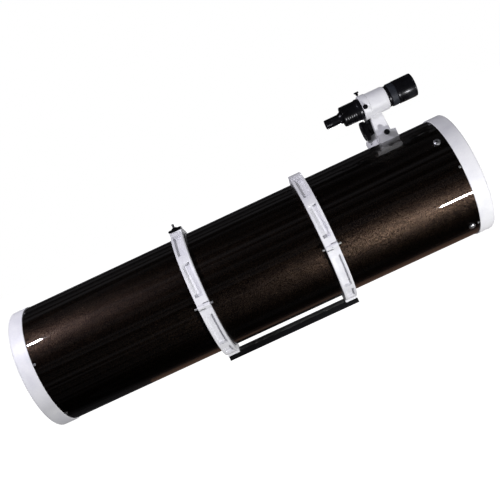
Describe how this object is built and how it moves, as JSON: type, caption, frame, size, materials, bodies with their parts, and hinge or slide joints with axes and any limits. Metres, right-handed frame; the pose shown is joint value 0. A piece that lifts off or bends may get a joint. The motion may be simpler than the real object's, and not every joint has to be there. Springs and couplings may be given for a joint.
{
  "type": "newtonian reflector telescope",
  "caption": "Newtonian reflector tube with hinged tube rings on a dovetail bar, a finder on a stalk, a radial focuser, and mirrors in adjustable cells.",
  "frame": {"origin": "centre of the dovetail bar's bottom face", "axes": "+X along the tube toward the sky, +Z from the bar to the tube, -Y is the rings' hinge side"},
  "size_m": [1.12, 0.353, 0.4541],
  "materials": {
    "gloss_black_tube": "gloss black enamel with fine bronze flake",
    "white_casting": "satin white powder coat on cast aluminium",
    "black_anodised": "satin black anodised",
    "black_bar": "satin black",
    "felt": "black felt",
    "bright_steel": "bright plated steel",
    "dark_steel": "blackened steel",
    "brushed_alloy": "turned aluminium",
    "flat_black": "flat black paint",
    "mirror_coating": "aluminised first surface",
    "lens_glass": "coated optical glass",
    "black_plastic": "moulded, knurled",
    "rubber": "moulded rubber",
    "cork": "pressed cork"
  },
  "bodies": {
    "cradle": {"dovetail_bar": "black_bar", "bar_bolts": "dark_steel", "rear_ring_lower": "white_casting", "front_ring_lower": "white_casting", "lower_felts": "felt", "hinge_pins": "bright_steel"},
    "rear_cap": {"rear_ring_upper": "white_casting", "rear_upper_felt": "felt", "camera_stud": "bright_steel"},
    "front_cap": {"front_ring_upper": "white_casting", "front_upper_felt": "felt"},
    "rear_clamp": {"rear_clamp_screw": "black_plastic"},
    "front_clamp": {"front_clamp_screw": "black_plastic"},
    "camera_disc": {"camera_lock_disc": "black_anodised"},
    "tube": {"tube_shell": "gloss_black_tube", "rear_end_ring": "white_casting", "front_end_ring": "white_casting", "end_ring_screws": "bright_steel", "spider_hub": "flat_black", "spider_vanes": "flat_black", "spider_nuts": "bright_steel", "secondary_screws": "dark_steel", "mirror_cell_frame": "brushed_alloy", "collimation_springs": "bright_steel", "cell_lock_screws": "dark_steel", "focuser_body": "white_casting", "base_screws": "dark_steel", "shaft_housing": "black_anodised", "finder_shoe": "white_casting", "finder_bracket": "white_casting", "finder_plunger_case": "bright_steel"},
    "secondary": {"secondary_holder": "flat_black", "secondary_mirror": "mirror_coating"},
    "primary": {"mirror_cell_plate": "brushed_alloy", "primary_mirror": "mirror_coating", "mirror_pads": "cork", "mirror_clips": "flat_black", "collimation_bolts": "bright_steel"},
    "collimation_a": {"collimation_knob_a": "black_plastic"},
    "collimation_b": {"collimation_knob_b": "black_plastic"},
    "collimation_c": {"collimation_knob_c": "black_plastic"},
    "drawtube": {"drawtube": "black_anodised", "drawtube_rack": "dark_steel", "eyepiece_adapter": "black_anodised"},
    "focus_shaft": {"focus_shaft": "bright_steel", "focus_knob_rear": "black_plastic", "focus_knob_front": "black_plastic"},
    "focus_lock": {"focus_lock_screw": "black_anodised"},
    "drawtube_lock": {"drawtube_screw": "bright_steel"},
    "finder": {"finder_body": "black_anodised", "finder_o_ring": "rubber", "finder_eyepiece": "black_anodised", "finder_eye_lens": "lens_glass"},
    "finder_cell": {"finder_objective_cell": "black_anodised", "finder_objective": "lens_glass"},
    "finder_ring": {"finder_lock_ring": "black_anodised"},
    "finder_top_screw": {"finder_top_screw": "black_anodised"},
    "finder_side_screw": {"finder_side_screw": "black_anodised"},
    "finder_plunger": {"finder_plunger_pin": "brushed_alloy"},
    "shoe_lock": {"shoe_thumbscrew": "black_anodised"}
  },
  "joints": [
    {"name": "rear_cap_hinge", "type": "hinge", "parent": "cradle", "child": "rear_cap", "pos_m": [-0.155, -0.1585, 0.1765], "axis": [1, 0, 0], "range_deg": [0, 100]},
    {"name": "front_cap_hinge", "type": "hinge", "parent": "cradle", "child": "front_cap", "pos_m": [0.155, -0.1585, 0.1765], "axis": [1, 0, 0], "range_deg": [0, 100]},
    {"name": "rear_clamp_turn", "type": "hinge", "parent": "rear_cap", "child": "rear_clamp", "pos_m": [-0.155, 0.176, 0.1965], "axis": [0, 0, 1], "continuous": true},
    {"name": "front_clamp_turn", "type": "hinge", "parent": "front_cap", "child": "front_clamp", "pos_m": [0.155, 0.176, 0.1965], "axis": [0, 0, 1], "continuous": true},
    {"name": "camera_disc_turn", "type": "hinge", "parent": "rear_cap", "child": "camera_disc", "pos_m": [-0.156, 0, 0.3425], "axis": [0, 0, 1], "continuous": true},
    {"name": "tube_turn", "type": "hinge", "parent": "cradle", "child": "tube", "pos_m": [0, 0, 0.1765], "axis": [1, 0, 0], "continuous": true},
    {"name": "secondary_turn", "type": "hinge", "parent": "tube", "child": "secondary", "pos_m": [0.43, 0, 0.1765], "axis": [1, 0, 0], "continuous": true},
    {"name": "primary_tilt", "type": "hinge", "parent": "tube", "child": "primary", "pos_m": [-0.567, 0, 0.1765], "axis": [0, 1, 0], "range_deg": [-0.8, 0.8]},
    {"name": "collimation_a_turn", "type": "hinge", "parent": "tube", "child": "collimation_a", "pos_m": [-0.589, 0, 0.2715], "axis": [1, 0, 0], "continuous": true},
    {"name": "collimation_b_turn", "type": "hinge", "parent": "tube", "child": "collimation_b", "pos_m": [-0.589, 0.08227, 0.129], "axis": [1, 0, 0], "continuous": true},
    {"name": "collimation_c_turn", "type": "hinge", "parent": "tube", "child": "collimation_c", "pos_m": [-0.589, -0.08227, 0.129], "axis": [1, 0, 0], "continuous": true},
    {"name": "drawtube_slide", "type": "slide", "parent": "tube", "child": "drawtube", "axis": [0, 0.5446, 0.8387], "range_m": [0, 0.036]},
    {"name": "focus_knob_turn", "type": "hinge", "parent": "tube", "child": "focus_shaft", "pos_m": [0.389, 0.07119, 0.35682], "axis": [1, 0, 0], "range_deg": [0, 324]},
    {"name": "focus_lock_turn", "type": "hinge", "parent": "tube", "child": "focus_lock", "pos_m": [0.389, 0.12593, 0.29146], "axis": [0, 0.8387, -0.5446], "continuous": true},
    {"name": "drawtube_lock_turn", "type": "hinge", "parent": "drawtube", "child": "drawtube_lock", "pos_m": [0.389, 0.14017, 0.32991], "axis": [0, 0.8387, -0.5446], "continuous": true},
    {"name": "finder_tilt", "type": "hinge", "parent": "tube", "child": "finder", "pos_m": [0.421, 0.01243, 0.41368], "axis": [0, 0.0523, 0.9986], "range_deg": [-1.5, 1.5]},
    {"name": "finder_side_screw_travel", "type": "slide", "parent": "tube", "child": "finder_side_screw", "axis": [0, -0.9986, 0.0523], "range_m": [-0.0015, 0.0015]},
    {"name": "finder_plunger_travel", "type": "slide", "parent": "tube", "child": "finder_plunger", "axis": [0, 0.6691, -0.7431], "range_m": [-0.0011, 0.0011]},
    {"name": "finder_top_screw_turn", "type": "hinge", "parent": "tube", "child": "finder_top_screw", "pos_m": [0.367, 0.014, 0.44363], "axis": [0, 0.0523, 0.9986], "continuous": true},
    {"name": "shoe_lock_turn", "type": "hinge", "parent": "tube", "child": "shoe_lock", "pos_m": [0.391, -0.0164, 0.34118], "axis": [0, -0.9986, 0.0523], "continuous": true},
    {"name": "finder_ring_turn", "type": "hinge", "parent": "finder", "child": "finder_ring", "pos_m": [0.442, 0.01243, 0.41368], "axis": [1, 0, 0], "continuous": true},
    {"name": "objective_turn", "type": "hinge", "parent": "finder", "child": "finder_cell", "pos_m": [0.47, 0.01243, 0.41368], "axis": [1, 0, 0], "continuous": true}
  ],
  "couplings": [
    {"joint": "focus_knob_turn", "follows": "drawtube_slide", "rad_per_m": 156.25},
    {"joint": "finder_side_screw_travel", "follows": "finder_tilt", "m_per_rad": 0.054},
    {"joint": "finder_plunger_travel", "follows": "finder_tilt", "m_per_rad": -0.038184}
  ]
}
